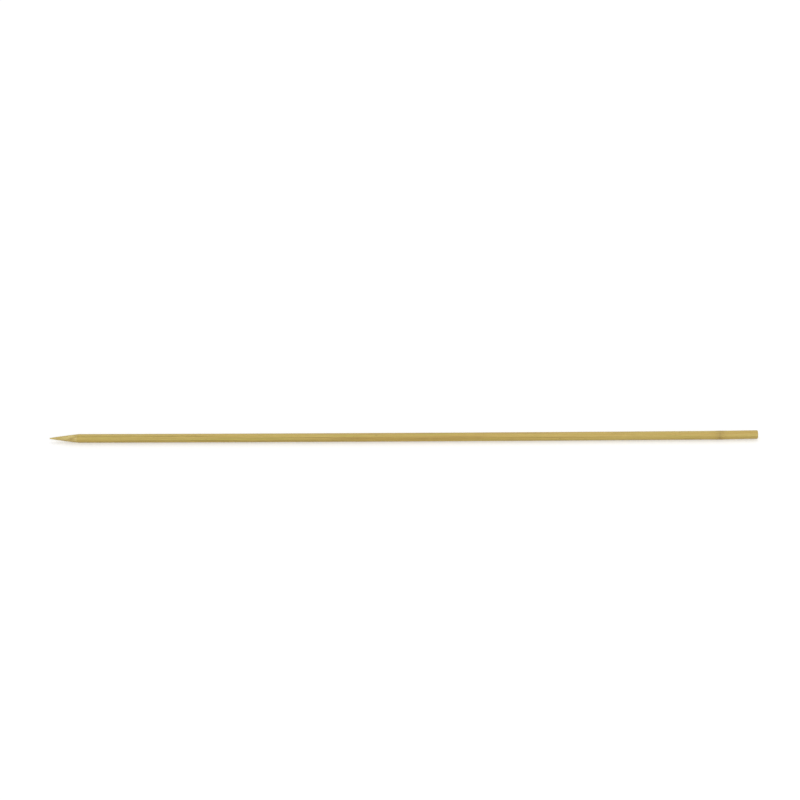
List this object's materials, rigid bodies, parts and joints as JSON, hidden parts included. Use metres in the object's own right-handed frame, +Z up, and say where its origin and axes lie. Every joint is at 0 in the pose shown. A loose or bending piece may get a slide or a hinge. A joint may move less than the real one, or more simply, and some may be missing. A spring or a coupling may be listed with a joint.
{
  "type": "bamboo skewer",
  "caption": "Straight round bamboo stick with a ground conical point at one end and a square-sawn butt at the other.",
  "frame": {"origin": "centre of the flat sawn butt face", "axes": "+X along the stick and out of the butt face, so the point lies towards -X; +Z up with the stick lying on its side; the slight bow is in the XY plane"},
  "size_m": [0.25, 0.0034, 0.0032],
  "materials": {
    "bamboo": "bare milled bamboo, satin, with fine fibres along the stick"
  },
  "bodies": {
    "root": {"skewer": "bamboo"}
  },
  "joints": []
}
